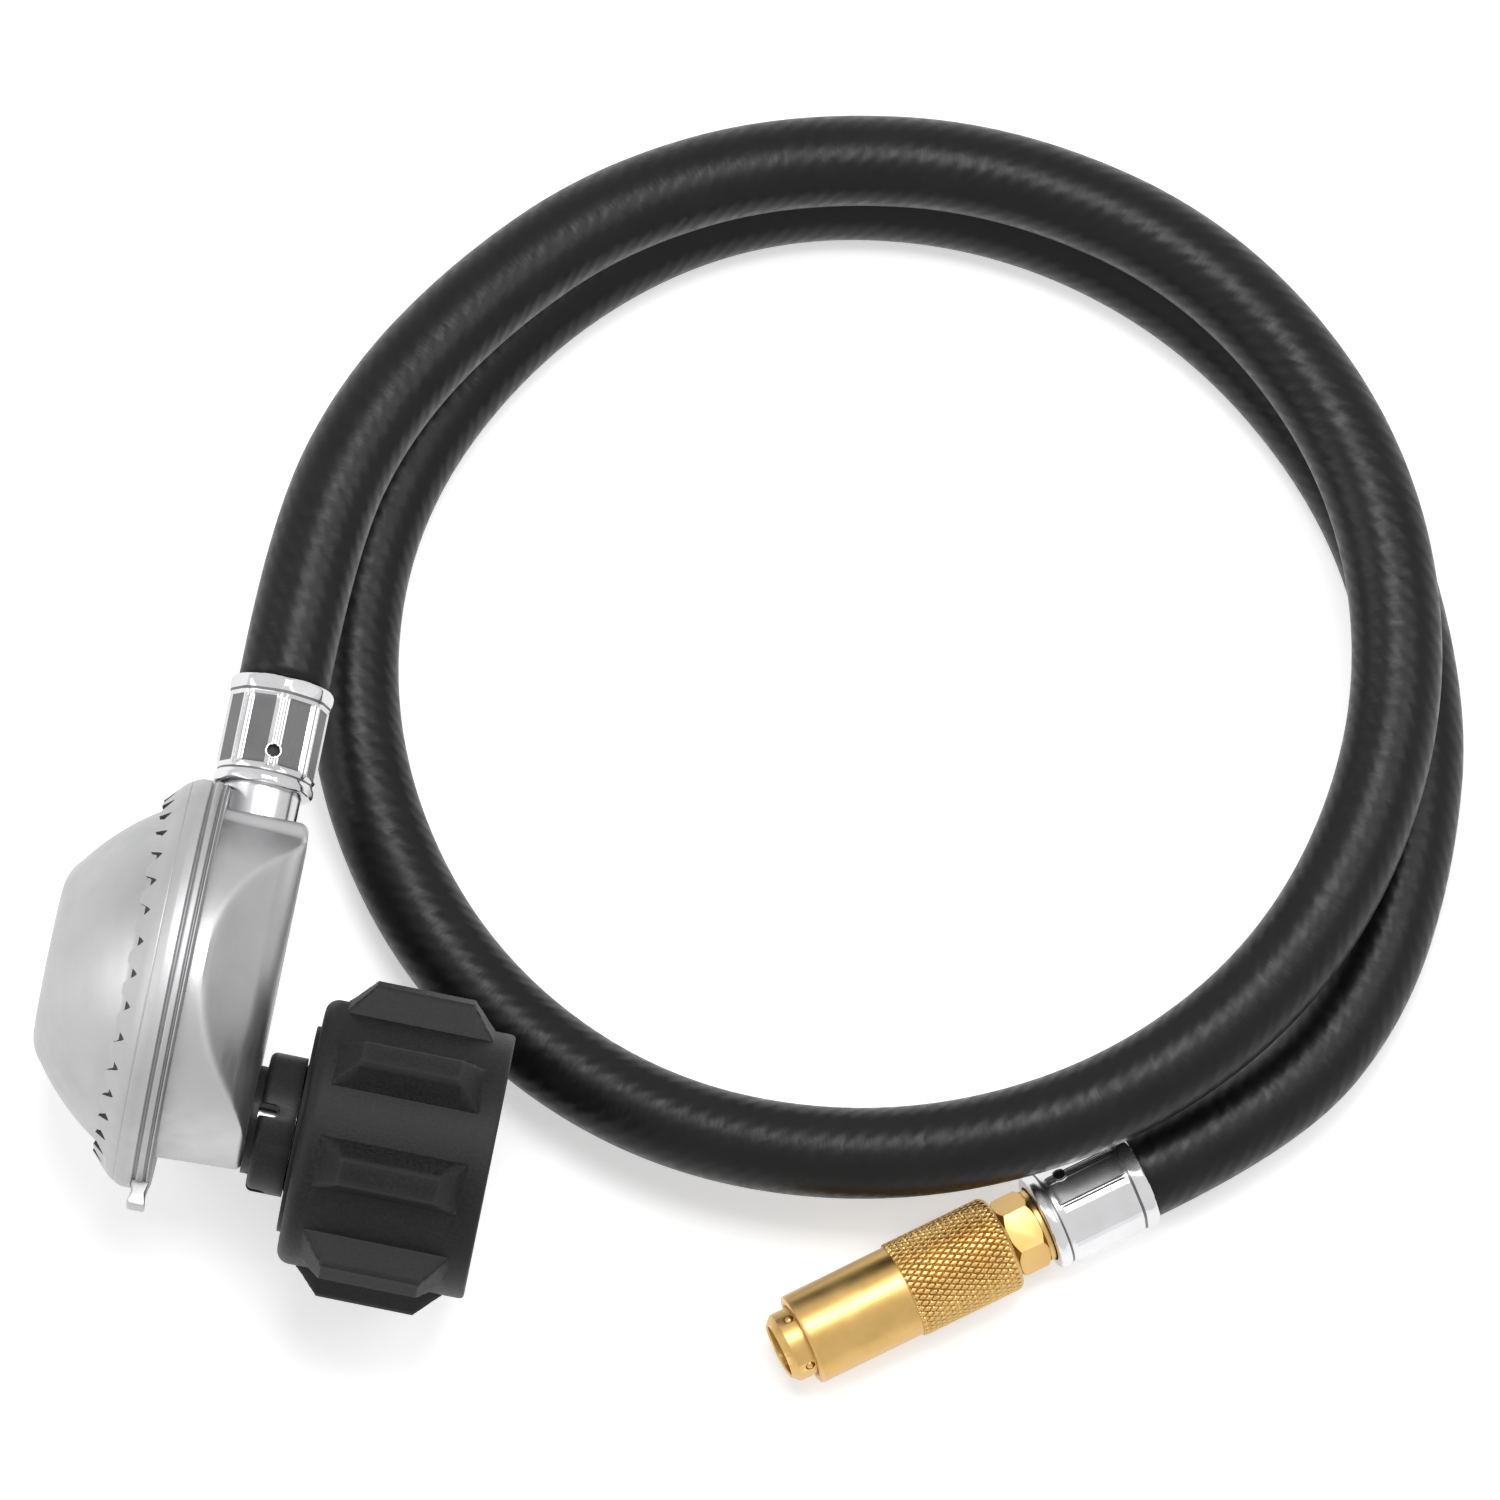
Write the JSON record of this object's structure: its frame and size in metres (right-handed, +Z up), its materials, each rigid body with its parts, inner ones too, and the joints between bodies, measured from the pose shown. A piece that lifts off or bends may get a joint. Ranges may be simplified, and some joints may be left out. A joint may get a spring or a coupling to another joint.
{
  "type": "propane regulator hose",
  "caption": "Low-pressure gas regulator with a hand nut for the cylinder, a rubber hose and a push-fit quick coupler.",
  "frame": {"origin": "on the floor that the object lies on, under the middle of the regulator with its nut and its own ferrule", "axes": "+X from the domed cover to the cylinder nut, +Y from the regulator to its hose outlet, +Z up from the floor"},
  "size_m": [0.2386, 0.2301, 0.0724],
  "materials": {
    "cast_cover": "satin die-cast",
    "cast_rim": "satin die-cast",
    "cast_body": "satin die-cast",
    "mesh": "fine woven wire",
    "soft_rubber": "matt",
    "zinc_plate": "zinc plated",
    "brass_inner": "turned",
    "spring_steel": "drawn",
    "inner_plastic": "moulded",
    "bushing_plastic": "moulded, fine grain",
    "nut_plastic": "moulded, fine grain",
    "plated_steel": "bright plated",
    "chrome_ferrule": "bright plated, crimped",
    "hose_rubber": "satin extruded",
    "brass": "turned and knurled"
  },
  "bodies": {
    "regulator_and_hose": {"cover": "cast_cover", "vent_screen": "mesh", "crimp_ring": "cast_rim", "regulator_body": "cast_body", "diaphragm": "soft_rubber", "main_spring": "spring_steel", "lever_pin": "spring_steel", "orifice": "brass_inner", "inlet_nipple": "brass_inner", "nipple_seal": "soft_rubber", "flow_cage": "inner_plastic", "flow_spring": "spring_steel", "inlet_strainer": "mesh", "thermal_bushing": "bushing_plastic", "outlet_nipple": "plated_steel", "regulator_ferrule": "chrome_ferrule", "coupler_ferrule": "chrome_ferrule", "hose": "hose_rubber", "coupler_stem": "brass", "coupler_socket": "brass", "sleeve_spring": "spring_steel", "poppet_spring": "spring_steel", "plug_seal": "soft_rubber"},
    "nut": {"cylinder_nut": "nut_plastic"},
    "diaphragm_stack": {"diaphragm_plate": "zinc_plate", "diaphragm_stem": "brass_inner"},
    "lever_arm": {"lever": "zinc_plate", "seat_disc": "soft_rubber"},
    "flow_limiter": {"flow_plunger": "inner_plastic"},
    "sleeve": {"coupler_sleeve": "brass"},
    "poppet": {"valve_poppet": "brass_inner", "poppet_seal": "soft_rubber"},
    "ball_1": {"lock_ball_1": "spring_steel"},
    "ball_2": {"lock_ball_2": "spring_steel"},
    "ball_3": {"lock_ball_3": "spring_steel"},
    "ball_4": {"lock_ball_4": "spring_steel"}
  },
  "joints": [
    {"name": "nut_spin", "type": "hinge", "parent": "regulator_and_hose", "child": "nut", "pos_m": [0.01705, -0.02596, 0.0362], "axis": [1, 0, 0], "continuous": true},
    {"name": "diaphragm_slide", "type": "slide", "parent": "regulator_and_hose", "child": "diaphragm_stack", "axis": [-1, 0, 0], "range_m": [0, 0.0015], "stiffness_N_per_m": 1500, "springref_m": -0.004, "deforming": ["main_spring", "diaphragm"]},
    {"name": "lever_rock", "type": "hinge", "parent": "regulator_and_hose", "child": "lever_arm", "pos_m": [-0.0134, -0.01786, 0.0362], "axis": [0, 0, 1], "range_deg": [0, 7]},
    {"name": "flow_limiter_slide", "type": "slide", "parent": "regulator_and_hose", "child": "flow_limiter", "axis": [-1, 0, 0], "range_m": [0, 0.003], "stiffness_N_per_m": 60, "springref_m": -0.004, "deforming": ["flow_spring"]},
    {"name": "sleeve_slide", "type": "slide", "parent": "regulator_and_hose", "child": "sleeve", "axis": [-0.7902, -0.6129, 0], "range_m": [0, 0.004], "deforming": ["sleeve_spring"]},
    {"name": "poppet_slide", "type": "slide", "parent": "regulator_and_hose", "child": "poppet", "axis": [0.7902, 0.6129, 0], "range_m": [0, 0.0025], "stiffness_N_per_m": 250, "springref_m": -0.004, "deforming": ["poppet_spring"]},
    {"name": "ball_1_slide", "type": "slide", "parent": "regulator_and_hose", "child": "ball_1", "axis": [0.3515, -0.4532, -0.8192], "range_m": [0, 0.0008]},
    {"name": "ball_2_slide", "type": "slide", "parent": "regulator_and_hose", "child": "ball_2", "axis": [0.5021, -0.6473, 0.5736], "range_m": [0, 0.0008]},
    {"name": "ball_3_slide", "type": "slide", "parent": "regulator_and_hose", "child": "ball_3", "axis": [-0.3515, 0.4532, 0.8192], "range_m": [0, 0.0008]},
    {"name": "ball_4_slide", "type": "slide", "parent": "regulator_and_hose", "child": "ball_4", "axis": [-0.5021, 0.6473, -0.5736], "range_m": [0, 0.0008]}
  ],
  "couplings": [
    {"joint": "lever_rock", "follows": "diaphragm_slide", "rad_per_m": 80},
    {"joint": "ball_1_slide", "follows": "sleeve_slide", "ratio": 0.2},
    {"joint": "ball_2_slide", "follows": "sleeve_slide", "ratio": 0.2},
    {"joint": "ball_3_slide", "follows": "sleeve_slide", "ratio": 0.2},
    {"joint": "ball_4_slide", "follows": "sleeve_slide", "ratio": 0.2}
  ]
}
